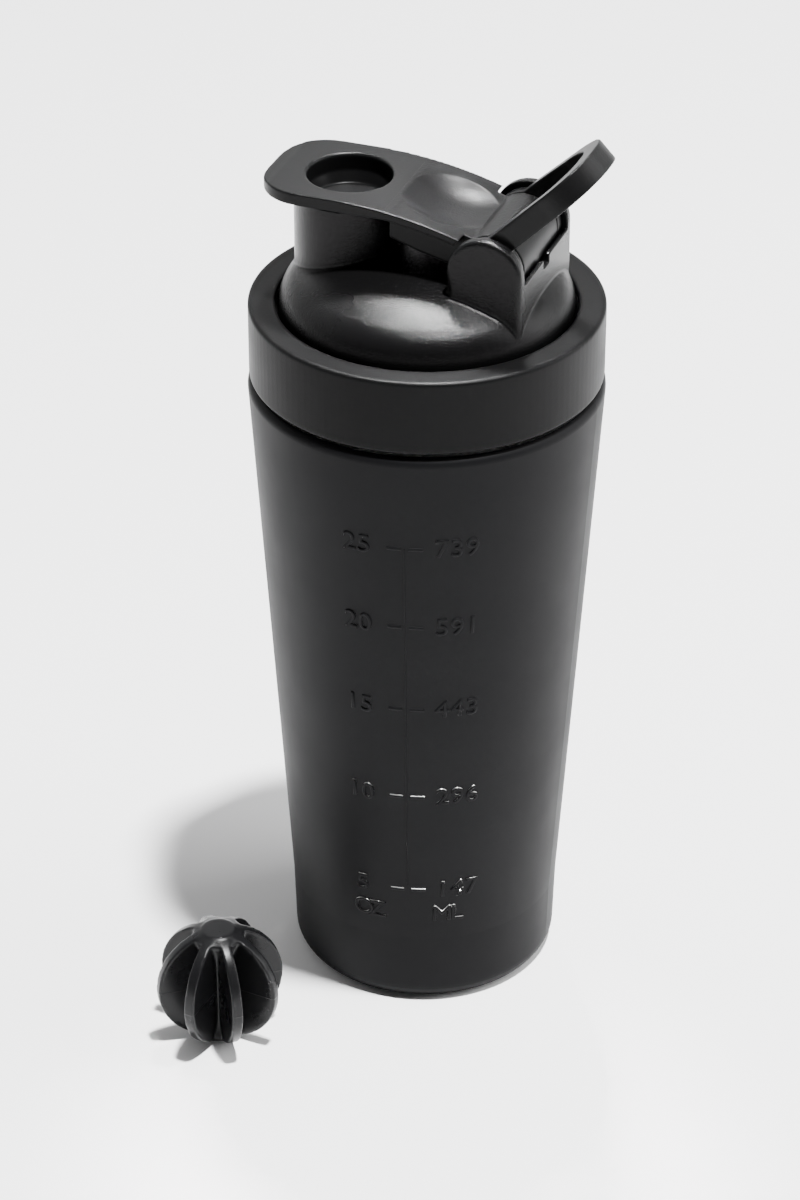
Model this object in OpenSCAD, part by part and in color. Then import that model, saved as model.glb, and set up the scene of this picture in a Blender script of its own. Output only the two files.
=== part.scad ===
// Protein shaker bottle: coated steel cup, screw collar, spouted lid insert, flip cap, carry loop
// and a loose mixing ball. The origin is the centre of the cup's base, +Z is up, the spout lies
// toward -X and the hinge toward +X. All sizes are in millimetres.

/* [Cup] */
// Radius of the cup where its base corner ends
base_r = 36.3; // [32:0.1:40]
// Radius of the cup just under its shoulder
shoulder_r = 46.6; // [45:0.1:48]
// Height of the shoulder
shoulder_z = 176.2; // [150:0.1:220]
// Height at which the straight foot turns into the taper
foot_h = 22; // [12:0.5:40]
// Outer radius of the neck
neck_r = 42.2; // [41:0.1:43]
// Height of the neck above the shoulder line
neck_h = 17.8; // [16:0.1:20]
// Wall thickness of the steel
wall = 0.8; // [0.7:0.1:1.2]

/* [Lid] */
// Outer radius of the screw collar
collar_r = 46.2; // [45.5:0.1:48]
// Height of the screw collar
collar_h = 20.3; // [19:0.1:22]
// Radius of the opening in the collar's top
opening_r = 39.1; // [38.8:0.1:40]
// Rise of one full turn of the screw thread
thread_lead = 10; // [8:0.5:12]
// Height of the dome above its springing line
dome_h = 16.5; // [15:0.1:17]
// Distance of the spout's centre from the bottle's axis
spout_x = 21; // [19:0.5:22]
// Outer radius of the spout tube
spout_r = 14.5; // [13:0.1:14.6]

/* [Hinge] */
// Distance of the hinge axis from the bottle's axis
hinge_x = 22; // [21:0.1:23]
// Height of the hinge axis above the collar's top
hinge_rise = 19; // [18:0.1:20]
// Radius of the cap's barrel and the loop's eyes
barrel_r = 8.5; // [8:0.1:8.8]
// Radius of the rounded top of each ear
ear_r = 10; // [9.6:0.1:10.4]
// Half of the bracket's width across the ears
ear_out = 20; // [19:0.1:21]

/* [Flip cap] */
// Distance from the bottle's axis to the cap's free end
cap_reach = 42; // [40:0.5:44]
// Half of the cap plate's width
cap_half_w = 16.8; // [16:0.1:18]
// Thickness of the cap plate over the spout
cap_t = 3.2; // [2.6:0.1:4]

/* [Carry loop] */
// Length of the loop from the hinge axis
loop_len = 37; // [30:0.5:45]
// Angle of the loop above the horizontal
loop_angle = 44; // [30:1:48]
// Width of the loop's flat band
band_w = 6.2; // [5:0.1:7]

/* [Mixing ball] */
// Radius of the mixing ball
ball_r = 17.5; // [15:0.1:20]
// Thickness of each rib
rib_t = 3; // [2:0.1:3.5]

/* [Hidden] */
$fn = 96;
eps = 0.01;
far = 60; // longer than any cut
above = 240; // higher than the lid

// Cup
base_corner = 5;
base_disc_r = 24;
groove = 0.7;
groove_w = 3.4;
floor_t = 1.2;
foot_r = base_r + 0.5;
shoulder_round = 2.5;
rim_z = shoulder_z + neck_h;
neck_z = shoulder_z + shoulder_round;

// Collar and thread
collar_top = 200.2;
collar_bottom = collar_top - collar_h;
collar_lip = 2;
collar_bore_r = 43.7;
cup_crest_r = 43.35;
collar_crest_r = 42.75;
thread_starts = 2;
thread_turn = 300;
thread_step = 7.5;
thread_z = 182.2;
thread_root_w = 2;
thread_crest_w = 1;

// Insert
dome_r = 38.2;
dome_z = 199.5;
dome_t = 2;
flange_r = 43;
flange_z = 196;
flange_top = 197.9;
gasket_in = 38.8;
gasket_gap = 0.1;
shoulder_arc = 10;
spout_bore_r = 12.3;
spout_top = 228;

// Hinge
hinge_z = collar_top + hinge_rise;
pin_r = 1.5;
running_gap = 0.05;
ear_in = 16.9;
ear_round = 1.3;
pin_blind_end = 18.9;
hub_half = 13;
eye_in = 13.3;
eye_out = 16.6;
cradle_r = 9;
cradle_wall = 2;
back_wall_z = 217.5;
plate_clear_r = 10.8;
notch_r = 2.2;
notch_depth = 2.5;

// Cap
cap_top = 232.2;
cap_under = cap_top - cap_t;
cap_corner = 12.5;
droop_start = -20;
droop = 0.0045;
under_start = -6.3;
plate_end_t = 1.9;
cap_top_end = 17.5;
well_r = 11;
well_floor = 224.6;
well_floor_r = 9.4;
well_cone_h = 3;
rim_break = 0.7; // chamfer on the rims of the well and the spout
plug_top_r = 11.9;
plug_low_r = 10.6;
plug_bottom = 223;
web_start = -5.5;
skirt_t = 2;
// Lower edges of the web and of the skirt walls, as (x, z) points
web_low = [[14.6, 215.6], [12, 218.6], [8, 222.4], [2, 225.8], [web_start, 228.6]];
skirt_low = [[web_start, 222.5], [2, 220], [12, 217.5], [14.6, 215.6]];
seal_bottom = spout_top + 0.15;
scoop_r = 32;
scoop_corner = 16;
scoop_flat = 3.5;
scoop_x = 13;
scoop_z = 257.6;

// Loop
band_front = 6.8;
loop_end_half = 14.9;
loop_corner = 14;
arm_t = 3.3;
loop_inner_corner = 10.8;
arm_inset = 0.1;
arm_root = 4;
arm_straight = 11;
loop_end_t = 5.5;

// Ball
ball_x = -35.4;
ball_y = -65;
ball_core_r = 4.6;
ball_turn = -6;
ball_pole_z = 17.2;

// Points of an arc from angle a0 to a1, in n steps
function arc(cx, cy, r, a0, a1, n) =
    [for (i = [0:n]) let (a = a0 + (a1 - a0) * i / n) [cx + r * cos(a), cy + r * sin(a)]];

// Height of the cap's upper surface
function cap_z(x) = cap_top - (x > droop_start ? droop * pow(x - droop_start, 2) : 0);

// Lays a drawing of (x, z) points upright and extrudes it symmetrically along Y
module along_y(half) {
    rotate([90, 0, 0])
        translate([0, 0, -half])
            linear_extrude(2 * half) children();
}

module hinge_cylinder(r, half) {
    translate([hinge_x, 0, hinge_z])
        rotate([90, 0, 0])
            cylinder(r = r, h = 2 * half, center = true);
}

module block(x0, x1, y0, y1, z0, z1) {
    translate([x0, y0, z0]) cube([x1 - x0, y1 - y0, z1 - z0]);
}

// One screw thread start: a ridge between r_root and r_crest that climbs right-handed
module thread_start(r_root, r_crest, start) {
    steps = thread_turn / thread_step;
    ring = [for (i = [0:steps])
        let (a = start + i * thread_step,
             z = thread_z + thread_lead * i * thread_step / 360,
             fade = min(1, min(i, steps - i) / 3),
             r = r_root + (r_crest - r_root) * max(fade, 0.35))
        each [
            [r_root * cos(a), r_root * sin(a), z - thread_root_w / 2],
            [r * cos(a), r * sin(a), z - thread_crest_w / 2],
            [r * cos(a), r * sin(a), z + thread_crest_w / 2],
            [r_root * cos(a), r_root * sin(a), z + thread_root_w / 2]]];
    inward = r_crest < r_root;
    sides = [for (i = [0:steps - 1], k = [0:3])
        let (p = 4 * i + k, q = 4 * i + (k + 1) % 4)
        inward ? [p, p + 4, q + 4, q] : [p, q, q + 4, p + 4]];
    first = [0, 1, 2, 3];
    last = [for (k = [3:-1:0]) 4 * steps + k];
    ends = inward ? [first, last] : [[3, 2, 1, 0], [for (k = [0:3]) 4 * steps + k]];
    polyhedron(ring, concat(sides, ends));
}

module cup() {
    outer = concat(
        [[0, 0], [base_disc_r, 0], [base_disc_r + groove, groove],
         [base_disc_r + groove_w - groove, groove], [base_disc_r + groove_w, 0]],
        arc(base_r - base_corner, base_corner, base_corner, -90, 0, 8),
        [[foot_r, foot_h]],
        arc(shoulder_r - shoulder_round, shoulder_z, shoulder_round, 0, 90, 8),
        [[neck_r, neck_z], [neck_r, rim_z - 0.4], [neck_r - 0.4, rim_z]]);
    bore_r = neck_r - wall - 0.2;
    inner = concat(
        [[bore_r + 0.4, rim_z], [bore_r, rim_z - 0.4], [bore_r, neck_z - wall]],
        arc(shoulder_r - shoulder_round, shoulder_z, shoulder_round - wall, 90, 0, 6),
        [[foot_r - wall, foot_h]],
        arc(base_r - base_corner, base_corner + floor_t - wall, base_corner - wall, 0, -90, 6),
        [[0, floor_t]]);
    color("#202123")
        union() {
            rotate_extrude($fn = 128) polygon(concat(outer, inner));
            for (k = [0:thread_starts - 1])
                thread_start(neck_r - 0.5, cup_crest_r, k * 360 / thread_starts);
        }
}

module lid_collar() {
    half_pitch = 180 / thread_starts;
    profile = concat(
        arc(collar_r - 0.9, collar_top - 0.9, 0.9, 0, 90, 5),
        arc(opening_r + 0.6, collar_top - 0.6, 0.6, 90, 180, 4),
        [[opening_r, collar_top - collar_lip], [collar_bore_r, collar_top - collar_lip],
         [collar_bore_r, collar_bottom + 0.5], [collar_bore_r + 0.5, collar_bottom],
         [collar_r - 0.5, collar_bottom], [collar_r, collar_bottom + 0.5]]);
    color("#2b2c2e")
        union() {
            rotate_extrude($fn = 128) polygon(profile);
            for (k = [0:thread_starts - 1])
                thread_start(collar_bore_r + 0.5, collar_crest_r, half_pitch + k * 360 / thread_starts);
        }
}

// Half section of the dome, grown inward by t: a small shoulder arc that runs into a broad crown
module dome_section(t) {
    arc_x = dome_r - shoulder_arc;
    gap = dome_h - shoulder_arc;
    drop = (arc_x * arc_x - gap * gap) / (2 * gap);
    crown_r = dome_h + drop;
    crown_z = dome_z - drop;
    lean = atan2(arc_x, drop);
    tip = [(crown_r - t) * sin(lean), crown_z + (crown_r - t) * cos(lean)];
    intersection() {
        union() {
            translate([arc_x, dome_z]) circle(r = shoulder_arc - t);
            intersection() {
                translate([0, crown_z]) circle(r = crown_r - t, $fn = 360);
                polygon([[0, flange_z], [arc_x, flange_z], [arc_x, dome_z], tip, [tip.x, above],
                         [0, above]]);
            }
            translate([0, flange_z - 1]) square([dome_r - t, dome_z - flange_z + 1]);
        }
        translate([0, flange_z - (t > 0 ? 1 : 0)]) square(far);
    }
}

module dome_solid(t) {
    rotate_extrude($fn = 128) dome_section(t);
}

// Outline of the bracket in (x, z): a round top on a straight block
module bracket_outline(inset) {
    translate([hinge_x, hinge_z]) circle(r = ear_r - inset);
    translate([hinge_x - ear_r + inset, dome_z]) square([2 * (ear_r - inset), hinge_z - dome_z]);
}

// Bracket block whose outer edges are rounded all the way round its outline
module bracket_block() {
    along_y(ear_out - ear_round) bracket_outline(0);
    along_y(ear_out) bracket_outline(ear_round);
    for (side = [-1, 1]) {
        translate([hinge_x, side * (ear_out - ear_round), hinge_z])
            rotate([90, 0, 0])
                rotate_extrude() translate([ear_r - ear_round, 0]) circle(r = ear_round, $fn = 48);
        for (end = [-1, 1])
            translate([hinge_x + end * (ear_r - ear_round), side * (ear_out - ear_round), dome_z])
                cylinder(r = ear_round, h = hinge_z - dome_z, $fn = 48);
    }
}

module bracket() {
    difference() {
        bracket_block();
        block(0, hinge_x, -ear_in, ear_in, dome_z - 1, above);
        block(hinge_x - 1, hinge_x + 20, -ear_in, ear_in, back_wall_z, above);
    }
}

module lid_insert() {
    color("#1b1b1c")
        difference() {
            union() {
                difference() {
                    union() {
                        dome_solid(0);
                        translate([-spout_x, 0, dome_z]) cylinder(r = spout_r, h = spout_top - dome_z);
                        bracket();
                    }
                    dome_solid(dome_t);
                }
                intersection() {
                    hinge_cylinder(cradle_r + cradle_wall, ear_out - 1);
                    dome_solid(0);
                }
                translate([0, 0, flange_z])
                    difference() {
                        cylinder(r = flange_r, h = flange_top - flange_z, $fn = 128);
                        translate([0, 0, -1]) cylinder(r = dome_r - dome_t, h = 10, $fn = 128);
                    }
            }
            hinge_cylinder(cradle_r, ear_in);
            translate([hinge_x + cradle_r, 0, back_wall_z - notch_depth]) cylinder(r = notch_r, h = 20);
            translate([-spout_x, 0, dome_z - 3]) cylinder(r = spout_bore_r, h = far);
            translate([-spout_x, 0, spout_top - rim_break + 0.2])
                cylinder(r1 = spout_bore_r, r2 = spout_bore_r + rim_break, h = rim_break);
            translate([hinge_x, -pin_blind_end, hinge_z])
                rotate([-90, 0, 0]) cylinder(r = pin_r, h = pin_blind_end + ear_out + 1);
        }
}

module lid_gasket() {
    color("#3a3b3d")
        translate([0, 0, rim_z + gasket_gap])
            difference() {
                cylinder(r = flange_r - 0.2, h = flange_z - rim_z - gasket_gap, $fn = 128);
                translate([0, 0, -1]) cylinder(r = gasket_in, h = 10, $fn = 128);
            }
}

// Plan of the cap plate: a broad rounded end and straight sides
module cap_plan() {
    corner_x = -cap_reach + cap_corner;
    for (side = [-1, 1])
        translate([corner_x, side * (cap_half_w - cap_corner)]) circle(r = cap_corner);
    translate([-cap_reach, -(cap_half_w - cap_corner)])
        square([cap_corner, 2 * (cap_half_w - cap_corner)]);
    translate([corner_x, -cap_half_w]) square([cap_top_end - corner_x, 2 * cap_half_w]);
}

// Side view of the cap plate: flat over the spout, then drooping toward the hinge
module plate_side() {
    steps = 12;
    top = [for (i = [0:steps])
        let (x = droop_start + (cap_top_end - droop_start) * i / steps) [x, cap_z(x)]];
    start_t = cap_z(under_start) - cap_under;
    under = [for (i = [steps:-1:0])
        let (x = under_start + (cap_top_end - under_start) * i / steps)
        [x, cap_z(x) - start_t + (start_t - plate_end_t) * i / steps]];
    polygon(concat([[-cap_reach, cap_under], [-cap_reach, cap_top - 0.5],
                    [-cap_reach + 4, cap_top]], top, under));
}

// Side view of the web that carries the plate down to the barrel
module web_side() {
    steps = 6;
    top = [for (i = [0:steps])
        let (x = web_start + (cap_top_end - web_start) * i / steps) [x, cap_z(x) - 0.5]];
    polygon(concat(top, [[hinge_x, hinge_z]], web_low));
}

// Cutter for the thumb scoop: a broad wheel with rounded edges, lying across the cap
module scoop_wheel() {
    translate([scoop_x, 0, scoop_z])
        rotate([90, 0, 0])
            rotate_extrude($fn = 180) {
                translate([0, -scoop_flat]) square([scoop_r, 2 * scoop_flat]);
                translate([0, -scoop_flat - scoop_corner])
                    square([scoop_r - scoop_corner, 2 * (scoop_flat + scoop_corner)]);
                for (side = [-1, 1])
                    translate([scoop_r - scoop_corner, side * scoop_flat]) circle(r = scoop_corner);
            }
}

// One of the two walls that hang below the plate between the spout and the barrel
module skirt_side() {
    polygon(concat([[web_start, cap_under]], skirt_low, [[hinge_x, hinge_z], [12, 224]]));
}

module flip_cap() {
    color("#232426")
        difference() {
            union() {
                difference() {
                    union() {
                        difference() {
                            intersection() {
                                along_y(cap_half_w) plate_side();
                                translate([0, 0, collar_top]) linear_extrude(far) cap_plan();
                            }
                            for (side = [-1, 1])
                                translate([hinge_x, side * (hub_half + 5), hinge_z])
                                    rotate([90, 0, 0])
                                        cylinder(r = plate_clear_r, h = 10, center = true);
                        }
                        along_y(hub_half) web_side();
                    }
                    scoop_wheel();
                }
                for (side = [-1, 1])
                    translate([0, side * (hub_half - skirt_t / 2), 0]) along_y(skirt_t / 2) skirt_side();
                hinge_cylinder(barrel_r, hub_half);
                translate([-spout_x, 0, plug_bottom])
                    cylinder(r1 = plug_low_r, r2 = plug_top_r, h = cap_under - plug_bottom + eps);
            }
            translate([-spout_x, 0, well_floor]) cylinder(r1 = well_floor_r, r2 = well_r, h = well_cone_h);
            translate([-spout_x, 0, well_floor + well_cone_h - eps]) cylinder(r = well_r, h = far);
            translate([-spout_x, 0, cap_top - rim_break + 0.2])
                cylinder(r1 = well_r, r2 = well_r + rim_break, h = rim_break);
            hinge_cylinder(pin_r + running_gap, hub_half + 1);
        }
}

module plug_seal() {
    color("#303133")
        translate([-spout_x, 0, seal_bottom])
            difference() {
                cylinder(r = spout_r - 0.3, h = cap_under - seal_bottom);
                translate([0, 0, -1]) cylinder(r = plug_top_r + 0.05, h = 5);
            }
}

module hinge_pin() {
    color("#b9bcc0")
        translate([hinge_x, -pin_blind_end, hinge_z])
            rotate([-90, 0, 0]) cylinder(r = pin_r, h = pin_blind_end + ear_out - 0.2);
}

// Rounded-end outline of the loop: half widths at root and end, length, corner radius and start
module loop_outline(half, end_half, length, corner, root) {
    polygon(concat([[root, -half], [arm_straight, -half]],
                   arc(length - corner, -(end_half - corner), corner, -90, 0, 16),
                   arc(length - corner, end_half - corner, corner, 0, 90, 16),
                   [[arm_straight, half], [root, half]]));
}

module loop_band() {
    inner_half = eye_in + arm_inset;
    translate([hinge_x, 0, hinge_z])
        rotate([0, -loop_angle, 0])
            translate([0, 0, band_front - band_w])
                difference() {
                    linear_extrude(band_w)
                        loop_outline(eye_out - arm_inset, loop_end_half, loop_len, loop_corner, arm_root);
                    translate([0, 0, -1])
                        linear_extrude(band_w + 2)
                            loop_outline(inner_half, loop_end_half - arm_t, loop_len - loop_end_t,
                                         loop_inner_corner, 0);
                }
}

module carry_loop() {
    color("#1d1d1e")
        difference() {
            union() {
                loop_band();
                for (side = [-1, 1])
                    translate([hinge_x, side * (eye_in + eye_out) / 2, hinge_z])
                        rotate([90, 0, 0])
                            cylinder(r = barrel_r, h = eye_out - eye_in, center = true);
            }
            hinge_cylinder(pin_r + running_gap, ear_out);
        }
}

// One rib pair of the ball: a round plate with a flat at each pole
module rib_plate() {
    along_y(rib_t / 2)
        intersection() {
            circle(r = ball_r);
            square([3 * ball_r, 2 * ball_pole_z], center = true);
        }
}

module mixing_ball() {
    color("#151516")
        translate([ball_x, ball_y, ball_pole_z])
            union() {
                for (k = [0:3])
                    rotate([0, 0, ball_turn + 45 * k]) rib_plate();
                cylinder(r = ball_core_r, h = 2 * ball_pole_z, center = true, $fn = 64);
            }
}

cup();
lid_collar();
lid_insert();
lid_gasket();
flip_cap();
plug_seal();
hinge_pin();
carry_loop();
mixing_ball();
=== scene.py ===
"""Looks for the shaker bottle: moulded edges, volume scale, materials and a pale studio."""

import math

import bmesh
import bpy
from mathutils import Matrix, Vector


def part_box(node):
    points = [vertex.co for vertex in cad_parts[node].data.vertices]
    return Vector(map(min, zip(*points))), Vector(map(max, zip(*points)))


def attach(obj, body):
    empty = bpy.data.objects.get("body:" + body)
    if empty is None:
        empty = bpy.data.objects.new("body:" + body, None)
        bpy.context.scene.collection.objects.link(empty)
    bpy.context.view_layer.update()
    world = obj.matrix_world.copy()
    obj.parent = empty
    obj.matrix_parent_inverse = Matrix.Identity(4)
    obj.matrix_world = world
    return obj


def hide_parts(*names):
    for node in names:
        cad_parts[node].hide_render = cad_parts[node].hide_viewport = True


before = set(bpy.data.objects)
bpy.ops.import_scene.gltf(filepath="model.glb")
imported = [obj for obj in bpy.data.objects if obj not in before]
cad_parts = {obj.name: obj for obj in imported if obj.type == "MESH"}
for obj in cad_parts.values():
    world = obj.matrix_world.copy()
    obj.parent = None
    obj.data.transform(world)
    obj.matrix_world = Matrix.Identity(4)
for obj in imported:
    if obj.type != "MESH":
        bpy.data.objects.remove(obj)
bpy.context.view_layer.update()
MM = 0.001

# The camera and what the lights point at, in the part's frame.
CAMERA_PLACE = Vector((0.2973, -0.8152, 0.6542))
CAMERA_RIGHT = Vector((0.9367, 0.3502, 0.0))
CAMERA_FORWARD = Vector((-0.2964, 0.7929, -0.5325))
LENS_MM = 114.0
SENSOR_MM = 36.0
AIM = Vector((0.0, 0.0, 0.11))
DOME_SPOT = Vector((0.009, -0.022, 0.212))

# The volume scale on the cup, in mm. Offsets run round the cup from the scale's centre. CAPITAL_SHARE is
# a figure's height over its font size. THINNING draws its outline in by that share of the relief.
SCALE_AZIMUTH = -77.5
# A row is the left text, the right text and the height.
SCALE_ROWS = (
    ("25", "739", 151.6),
    ("20", "591", 127.0),
    ("15", "443", 100.5),
    ("10", "296", 71.3),
    ("5", "147", 39.3),
)
UNIT_ROW = ("OZ", "ML", 30.8)
LEFT_CENTRE = -12.3
RIGHT_CENTRE = 13.9
UNIT_PULL = 2.2
DIGIT_HEIGHT = 5.2
CAPITAL_SHARE = 0.7
DIGIT_STEP = 4.0
DASHES = ((-4.2, -0.6), (1.4, 5.2))
DASH_STEPS = 8
LINE_OFFSET = 0.35
LINE_START = 1.2
LINE_R = 0.2
DASH_R = 0.6
RELIEF = 0.34
THINNING = 0.6

# Rays that look for the cup's wall start this far from its axis.
RAY_START = 100 * MM

# The cup's black coating ends at COAT_TOP, and the neck above it is bare. A face looks at the cup's axis
# where its distance from the axis, measured along its own normal, is under INWARD.
COAT_TOP = 178.6 * MM
INWARD = -0.5 * MM

# The thumb scoop is cut by a wheel across the cap. Its coarse grain fades in between the two depths of
# SCOOP_FADE inside the wheel's radius, and stops at SCOOP_LIP outside it.
SCOOP_X = 13 * MM
SCOOP_Z = 257.6 * MM
SCOOP_RADIUS = 32 * MM
SCOOP_FADE = (5 * MM, 1 * MM)
SCOOP_LIP = 0.4 * MM

# The ball's hub: radius and height in mm above the ball's centre, from the pole down to the core.
HUB_OUTLINE = ((0, 17.15), (3.0, 17.15), (4.6, 16.85), (6.0, 16.4), (6.9, 15.95), (7.1, 15.4),
               (6.8, 14.6), (6.1, 13.2), (5.3, 11), (4.8, 8), (4.7, 4))

# COOL is blue over red in a near-black tone. SMUDGE is how far handling marks move the roughness.
COOL = 1.04
SMUDGE = 0.05

# Edge rounding: each node's voxel in mm and its smoothing passes.
ROUNDING = {
    "lid_insert": (0.32, 5),
    "lid_collar": (0.38, 4),
    "flip_cap": (0.28, 6),
    "carry_loop": (0.25, 10),
}
BALL_ROUNDING = (0.33, 16)


# ---------------------------------------------------------------- material tools

def new_material(name, specular=0.5):
    material = bpy.data.materials.new(name)
    material.use_nodes = True
    tree = material.node_tree
    shader = tree.nodes["Principled BSDF"]
    shader.inputs["Specular IOR Level"].default_value = specular
    return material, tree, shader


def near_black(tone, blue=COOL):
    return tone, tone, tone * blue, 1


def add(tree, kind, inputs=None, **settings):
    """Adds a node. inputs holds values or the sockets that feed it."""
    node = tree.nodes.new(kind)
    for key, value in settings.items():
        setattr(node, key, value)
    for key, value in (inputs or {}).items():
        if isinstance(value, bpy.types.NodeSocket):
            tree.links.new(value, node.inputs[key])
        else:
            node.inputs[key].default_value = value
    return node


def spread(tree, value, low, high, start=0.0, end=1.0):
    """value, taken from the range start..end to low..high."""
    inputs = {"Value": value, "From Min": start, "From Max": end, "To Min": low, "To Max": high}
    return add(tree, "ShaderNodeMapRange", inputs).outputs["Result"]


def maths(tree, operation, first, second=0.0):
    return add(tree, "ShaderNodeMath", {0: first, 1: second}, operation=operation).outputs["Value"]


def vectors(tree, operation, first, second):
    return add(tree, "ShaderNodeVectorMath", {0: first, 1: second}, operation=operation)


def place_in(tree):
    return add(tree, "ShaderNodeTexCoord").outputs["Object"]


def grain_height(tree, place, size, detail=2.0):
    return add(tree, "ShaderNodeTexNoise",
               {"Vector": place, "Scale": 1.0 / size, "Detail": detail, "Roughness": 0.55}).outputs["Fac"]


def bump(tree, shader, height, depth, under=None):
    inputs = {"Height": height, "Distance": depth, "Strength": 1.0}
    if under is not None:
        inputs["Normal"] = under
    node = add(tree, "ShaderNodeBump", inputs)
    tree.links.new(node.outputs["Normal"], shader.inputs["Normal"])
    return node.outputs["Normal"]


def smudged(tree, shader, place, roughness, size=22 * MM):
    """Handling marks: the roughness wanders by SMUDGE over patches of that size."""
    patches = grain_height(tree, place, size, 4.0)
    rough = spread(tree, patches, roughness - SMUDGE, roughness + SMUDGE, 0.3, 0.7)
    tree.links.new(rough, shader.inputs["Roughness"])


def plastic(name, tone, roughness, specular, grain, depth):
    """Black moulded plastic with a spark-eroded grain of that size and depth."""
    material, tree, shader = new_material(name, specular)
    shader.inputs["Base Color"].default_value = near_black(tone)
    place = place_in(tree)
    smudged(tree, shader, place, roughness)
    bump(tree, shader, grain_height(tree, place, grain), depth)
    return material


def scooped_plastic():
    """The cap's plastic, with a coarser grain on the thumb scoop only."""
    material, tree, shader = new_material("cap_moulding", 0.08)
    shader.inputs["Base Color"].default_value = near_black(0.003)
    place = place_in(tree)
    smudged(tree, shader, place, 0.36)
    parts = add(tree, "ShaderNodeSeparateXYZ", {"Vector": place}).outputs
    beside = maths(tree, "POWER", maths(tree, "SUBTRACT", parts["X"], SCOOP_X), 2.0)
    below = maths(tree, "POWER", maths(tree, "SUBTRACT", parts["Z"], SCOOP_Z), 2.0)
    reach = maths(tree, "SQRT", maths(tree, "ADD", beside, below))
    start, full = (SCOOP_RADIUS - depth for depth in SCOOP_FADE)
    near = spread(tree, reach, 0.0, 1.0, start, full)
    within = maths(tree, "LESS_THAN", reach, SCOOP_RADIUS + SCOOP_LIP)
    inside = maths(tree, "MULTIPLY", near, within)
    fine = maths(tree, "MULTIPLY", grain_height(tree, place, 0.45 * MM), 0.35)
    coarse = maths(tree, "MULTIPLY", grain_height(tree, place, 0.9 * MM), inside)
    bump(tree, shader, maths(tree, "ADD", fine, coarse), 0.05 * MM)
    return material


def coated_steel():
    """Matt black coating outside; bare steel on the neck and inside."""
    material, tree, shader = new_material("cup_coating", 0.06)
    place = place_in(tree)
    parts = add(tree, "ShaderNodeSeparateXYZ", {"Vector": place})
    normal = add(tree, "ShaderNodeNewGeometry").outputs["Normal"]
    flat_place = vectors(tree, "MULTIPLY", place, (1, 1, 0)).outputs["Vector"]
    outward = vectors(tree, "DOT_PRODUCT", flat_place, normal).outputs["Value"]
    inner_wall = maths(tree, "LESS_THAN", outward, INWARD)
    up = add(tree, "ShaderNodeSeparateXYZ", {"Vector": normal}).outputs["Z"]
    low = maths(tree, "LESS_THAN", parts.outputs["Z"], COAT_TOP / 2)
    inner_floor = maths(tree, "MULTIPLY", maths(tree, "GREATER_THAN", up, 0.5), low)
    neck = maths(tree, "GREATER_THAN", parts.outputs["Z"], COAT_TOP)
    bare = maths(tree, "MAXIMUM", maths(tree, "MAXIMUM", inner_wall, inner_floor), neck)
    tree.links.new(bare, shader.inputs["Metallic"])
    ramp = add(tree, "ShaderNodeValToRGB", {"Fac": bare})
    ramp.color_ramp.elements[0].color = (0.003, 0.003, 0.0034, 1)
    ramp.color_ramp.elements[1].color = (0.42, 0.42, 0.41, 1)
    tree.links.new(ramp.outputs["Color"], shader.inputs["Base Color"])
    patches = spread(tree, grain_height(tree, place, 30 * MM, 4.0), -0.04, 0.04, 0.3, 0.7)
    finish = spread(tree, bare, 0.5, 0.3)
    tree.links.new(maths(tree, "ADD", finish, patches), shader.inputs["Roughness"])
    bump(tree, shader, grain_height(tree, place, 0.8 * MM), 0.006 * MM)
    return material


def ball_plastic(centre):
    """Glossier plastic with the mould's parting line round the middle."""
    material, tree, shader = new_material("ball_moulding", 0.15)
    shader.inputs["Base Color"].default_value = near_black(0.004, 1.1)
    place = place_in(tree)
    smudged(tree, shader, place, 0.3, 9 * MM)
    height = add(tree, "ShaderNodeSeparateXYZ", {"Vector": place}).outputs["Z"]
    off = maths(tree, "ABSOLUTE", maths(tree, "SUBTRACT", height, centre.z))
    seam = spread(tree, off, 1.0, 0.0, 0.05 * MM, 0.3 * MM)
    under = bump(tree, shader, seam, 0.06 * MM)
    bump(tree, shader, grain_height(tree, place, 0.5 * MM), 0.006 * MM, under)
    return material


def steel():
    material, tree, shader = new_material("pin_steel_finish")
    shader.inputs["Base Color"].default_value = (0.55, 0.55, 0.54, 1)
    shader.inputs["Metallic"].default_value = 1.0
    place = place_in(tree)
    smudged(tree, shader, place, 0.26, 2 * MM)
    bump(tree, shader, grain_height(tree, place, 0.3 * MM), 0.004 * MM)
    return material


# ---------------------------------------------------------------- shape tools

def soften(piece, voxel, passes):
    """Rounds a piece's moulded edges by about two voxels, with the voxel's size in mm."""
    remesh = piece.modifiers.new("soften", "REMESH")
    remesh.mode = "VOXEL"
    remesh.voxel_size = voxel * MM
    remesh.use_smooth_shade = True
    smooth = piece.modifiers.new("ease", "SMOOTH")
    smooth.factor = 0.5
    smooth.iterations = passes


def dress(piece, material):
    piece.data.materials.clear()
    piece.data.materials.append(material)


def new_piece(name, mesh_data, body, material):
    piece = bpy.data.objects.new(name, mesh_data)
    bpy.context.scene.collection.objects.link(piece)
    dress(piece, material)
    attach(piece, body)
    return piece


def revolve(bm, profile, centre, segments=96):
    """Adds a closed solid turned round the upright line through centre, where the profile starts and ends."""
    rings = []
    for radius, height in profile:
        spots = 1 if radius == 0 else segments
        ring = []
        for i in range(spots):
            turn = math.tau * i / segments
            arm = Vector((radius * math.cos(turn), radius * math.sin(turn), height))
            ring.append(bm.verts.new(centre + arm))
        rings.append(ring)
    for below, above in zip(rings, rings[1:]):
        for i in range(segments):
            j = (i + 1) % segments
            lower = [below[i % len(below)], below[j % len(below)]]
            upper = [above[j % len(above)], above[i % len(above)]]
            bm.faces.new(list(dict.fromkeys(lower + upper)))


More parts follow.
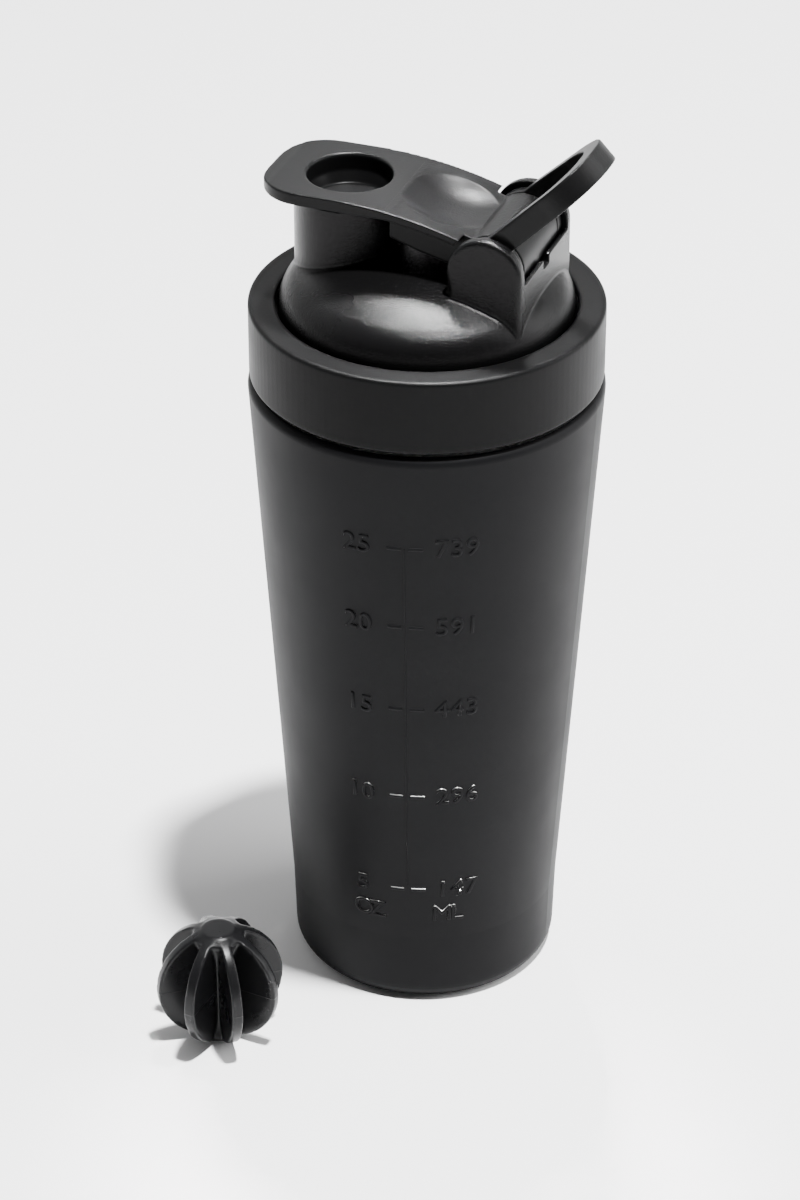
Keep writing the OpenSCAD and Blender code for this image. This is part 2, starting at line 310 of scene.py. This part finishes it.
def baked(temporary, bm):
    """Adds a temporary object's finished shape to bm, then removes the object."""
    bpy.context.view_layer.update()
    graph = bpy.context.evaluated_depsgraph_get()
    shape = bpy.data.meshes.new_from_object(temporary.evaluated_get(graph))
    shape.transform(temporary.matrix_world)
    bm.from_mesh(shape)
    bpy.data.objects.remove(temporary)


# ---------------------------------------------------------------- the volume scale

def cup_wall(azimuth, height):
    """The point of the cup's outer face at that azimuth and height, with its outward direction."""
    outward = Vector((math.cos(azimuth), math.sin(azimuth), 0))
    start = outward * RAY_START + Vector((0, 0, height * MM))
    _, spot, normal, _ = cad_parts["cup"].ray_cast(start, -outward)
    return spot, normal


def on_cup(offset, height):
    """The same, at an offset round the cup. The wall's radius there is found in two steps."""
    azimuth = math.radians(SCALE_AZIMUTH)
    for _ in range(2):
        spot = cup_wall(azimuth, height)[0]
        azimuth = math.radians(SCALE_AZIMUTH) + offset * MM / Vector((spot.x, spot.y)).length
    return cup_wall(azimuth, height)


def digit(character, offset, height, bm):
    """One raised figure with rounded strokes."""
    figure = bpy.data.curves.new("figure", "FONT")
    figure.body = character
    figure.align_x = "CENTER"
    figure.align_y = "CENTER"
    figure.size = DIGIT_HEIGHT * MM / CAPITAL_SHARE
    figure.bevel_depth = RELIEF * MM
    figure.bevel_resolution = 2
    figure.offset = -RELIEF * MM * THINNING
    figure.resolution_u = 6
    stand = bpy.data.objects.new("figure", figure)
    bpy.context.scene.collection.objects.link(stand)
    spot, normal = on_cup(offset, height)
    across = Vector((0, 0, 1)).cross(normal).normalized()
    upward = normal.cross(across)
    stand.matrix_world = Matrix((across, upward, normal)).transposed().to_4x4()
    stand.matrix_world.translation = spot
    baked(stand, bm)


def ridge(points, radius, bm):
    """A raised line through points, as a round bar of that radius; the points set how deep it sits in the
    wall.
    """
    path = bpy.data.curves.new("ridge", "CURVE")
    path.dimensions = "3D"
    path.bevel_depth = radius
    path.bevel_resolution = 3
    path.use_fill_caps = True
    spline = path.splines.new("POLY")
    spline.points.add(len(points) - 1)
    for point, place in zip(spline.points, points):
        point.co = (*place, 1)
    stand = bpy.data.objects.new("ridge", path)
    bpy.context.scene.collection.objects.link(stand)
    baked(stand, bm)


def dash(start, end, height, bm):
    """A raised graduation round the cup between two offsets."""
    points = []
    for i in range(DASH_STEPS + 1):
        spot, normal = on_cup(start + (end - start) * i / DASH_STEPS, height)
        points.append(spot - normal * (DASH_R - RELIEF) * MM)
    ridge(points, DASH_R * MM, bm)


def word(text, centre, height, bm):
    for i, character in enumerate(text):
        digit(character, centre + (i - (len(text) - 1) / 2) * DIGIT_STEP, height, bm)


def volume_scale(material):
    """The relief scale: five numbered rows, the unit marks and the upright line through the rows."""
    bm = bmesh.new()
    for ounces, millilitres, height in SCALE_ROWS:
        word(ounces, LEFT_CENTRE, height, bm)
        word(millilitres, RIGHT_CENTRE, height, bm)
        for start, end in DASHES:
            dash(start, end, height, bm)
    left, right, height = UNIT_ROW
    word(left, LEFT_CENTRE + UNIT_PULL, height, bm)
    word(right, RIGHT_CENTRE - UNIT_PULL, height, bm)
    line_ends = (SCALE_ROWS[-1][2] + LINE_START, SCALE_ROWS[0][2])
    ridge([on_cup(LINE_OFFSET, end)[0] for end in line_ends], LINE_R * MM, bm)
    data = bpy.data.meshes.new("volume_scale")
    bm.to_mesh(data)
    data.shade_smooth()
    new_piece("volume_scale", data, "cup", material)


# ---------------------------------------------------------------- the mixing ball

def mixing_ball():
    """The ribbed ball with domed pole caps, a filleted core and rounded rib edges."""
    low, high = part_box("mixing_ball")
    centre = (low + high) / 2
    bm = bmesh.new()
    bm.from_mesh(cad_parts["mixing_ball"].data)
    below = [(r * MM, -z * MM) for r, z in HUB_OUTLINE]
    above = [(r * MM, z * MM) for r, z in reversed(HUB_OUTLINE)]
    revolve(bm, below + above, centre)
    data = bpy.data.meshes.new("ribbed_ball")
    bm.to_mesh(data)
    piece = new_piece("ribbed_ball", data, "ball", ball_plastic(centre))
    soften(piece, *BALL_ROUNDING)
    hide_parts("mixing_ball")


# ---------------------------------------------------------------- the studio

def floor():
    bm = bmesh.new()
    bmesh.ops.create_grid(bm, x_segments=1, y_segments=1, size=6.0)
    data = bpy.data.meshes.new("floor")
    bm.to_mesh(data)
    piece = bpy.data.objects.new("floor", data)
    bpy.context.scene.collection.objects.link(piece)
    material, _, shader = new_material("studio_floor", 0.1)
    shader.inputs["Base Color"].default_value = (0.95, 0.95, 0.955, 1)
    shader.inputs["Roughness"].default_value = 0.9
    dress(piece, material)


def softbox(name, target, azimuth, elevation, distance, size, watts, beam=180):
    """A soft light aimed at target. A beam under 180 degrees is a grid on its front."""
    light = bpy.data.lights.new(name, "AREA")
    light.shape = "RECTANGLE"
    light.size, light.size_y = size
    light.energy = watts
    light.spread = math.radians(beam)
    holder = bpy.data.objects.new(name, light)
    bpy.context.scene.collection.objects.link(holder)
    turn, rise = math.radians(azimuth), math.radians(elevation)
    away = Vector((math.cos(rise) * math.cos(turn), math.cos(rise) * math.sin(turn), math.sin(rise)))
    holder.location = target + distance * away
    holder.rotation_euler = away.to_track_quat("Z", "Y").to_euler()


def surroundings():
    """A room that is bright behind the object and dark overhead and behind the camera."""
    world = bpy.data.worlds.new("room")
    bpy.context.scene.world = world
    world.use_nodes = True
    tree = world.node_tree
    look = add(tree, "ShaderNodeTexCoord").outputs["Generated"]
    back = Vector((CAMERA_FORWARD.x, CAMERA_FORWARD.y, 0)).normalized()
    facing = vectors(tree, "DOT_PRODUCT", look, back).outputs["Value"]
    behind = spread(tree, facing, 0.1, 1.8, -0.35, 0.75)
    rise = add(tree, "ShaderNodeSeparateXYZ", {"Vector": look}).outputs["Z"]
    lower = spread(tree, rise, 1.0, 0.12, 0.5, 0.9)
    tree.links.new(maths(tree, "MULTIPLY", behind, lower), tree.nodes["Background"].inputs["Strength"])
    tree.nodes["Background"].inputs["Color"].default_value = (1, 1, 1, 1)


def camera():
    data = bpy.data.cameras.new("view")
    data.lens = LENS_MM
    data.sensor_fit = "VERTICAL"
    data.sensor_height = SENSOR_MM
    holder = bpy.data.objects.new("view", data)
    bpy.context.scene.collection.objects.link(holder)
    upward = CAMERA_RIGHT.cross(CAMERA_FORWARD)
    holder.matrix_world = Matrix((CAMERA_RIGHT, upward, -CAMERA_FORWARD)).transposed().to_4x4()
    holder.matrix_world.translation = CAMERA_PLACE
    bpy.context.scene.camera = holder


# ---------------------------------------------------------------- putting it together

rubber = plastic("seal_silicone", tone=0.02, roughness=0.62, specular=0.4, grain=0.4 * MM, depth=0.01 * MM)
coat = coated_steel()
finishes = {
    "cup": coat,
    "lid_collar": plastic("collar_moulding", tone=0.003, roughness=0.42, specular=0.05,
                          grain=0.5 * MM, depth=0.02 * MM),
    "lid_insert": plastic("lid_moulding", tone=0.0025, roughness=0.24, specular=0.1,
                          grain=0.42 * MM, depth=0.12 * MM),
    "flip_cap": scooped_plastic(),
    "carry_loop": plastic("loop_moulding", tone=0.003, roughness=0.36, specular=0.1,
                          grain=0.5 * MM, depth=0.03 * MM),
    "lid_gasket": rubber,
    "plug_seal": rubber,
    "hinge_pin": steel(),
}
for node, finish in finishes.items():
    dress(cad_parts[node], finish)
for node, (voxel, passes) in ROUNDING.items():
    soften(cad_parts[node], voxel, passes)
volume_scale(coat)
mixing_ball()
floor()
surroundings()
softbox("key_overhead", AIM, azimuth=-20, elevation=79, distance=3.0, size=(0.2, 0.2), watts=370.0)
softbox("dome_kicker", DOME_SPOT, azimuth=108, elevation=66, distance=0.5, size=(0.07, 0.07),
        watts=0.2, beam=14)
softbox("right_bank", AIM, azimuth=24, elevation=30, distance=1.3, size=(0.9, 1.2), watts=20.0)
softbox("left_bank", AIM, azimuth=-176, elevation=22, distance=1.3, size=(0.4, 1.1), watts=0.4)
camera()
